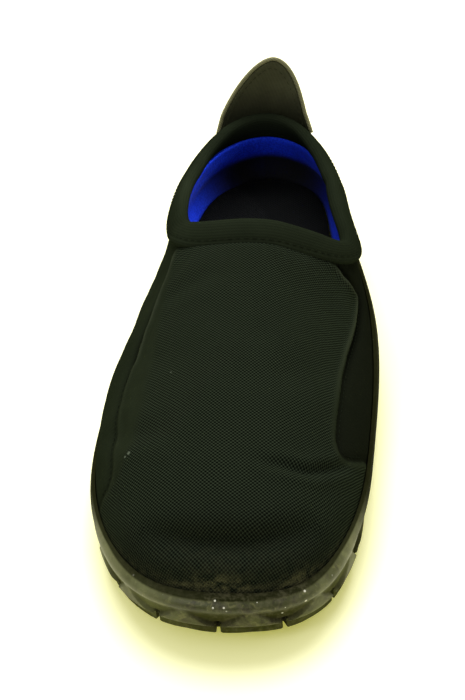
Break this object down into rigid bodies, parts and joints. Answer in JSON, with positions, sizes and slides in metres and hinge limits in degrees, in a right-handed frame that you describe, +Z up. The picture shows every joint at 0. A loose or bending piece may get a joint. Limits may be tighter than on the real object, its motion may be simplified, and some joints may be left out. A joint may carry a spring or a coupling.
{
  "type": "slip-on sneaker",
  "caption": "Low slip-on water shoe with a soft mesh upper, rolled stretch collar, arched heel tab, elastic drawcord with a cord lock, and a lugged rubber cup sole.",
  "frame": {"origin": "on the floor under the middle of the shoe, its box's bottom centre without the loose cord and its lock", "axes": "+Z up, the toe towards -Y and the heel towards +Y, the outer (little toe) side towards -X"},
  "size_m": [0.1076, 0.3115, 0.0791],
  "materials": {
    "sole_rubber": "satin moulded rubber, dusty",
    "mesh_cloth": "net-weave mesh vamp and smooth stretch side panels, black",
    "insole_cloth": "matte black cloth-covered foam",
    "binding_cloth": "soft stretch binding, black",
    "tab_cloth": "woven webbing, dark olive-black",
    "elastic_cord": "braided elastic, grey-brown",
    "lock_plastic": "moulded black plastic",
    "button_plastic": "moulded olive-brown plastic"
  },
  "bodies": {
    "root": {"outsole": "sole_rubber", "upper": "mesh_cloth", "insole": "insole_cloth", "collar_binding": "binding_cloth", "heel_tab": "tab_cloth", "drawcord": "elastic_cord", "cord_tail": "elastic_cord", "cord_lock": "lock_plastic", "lock_button": "button_plastic"}
  },
  "joints": []
}
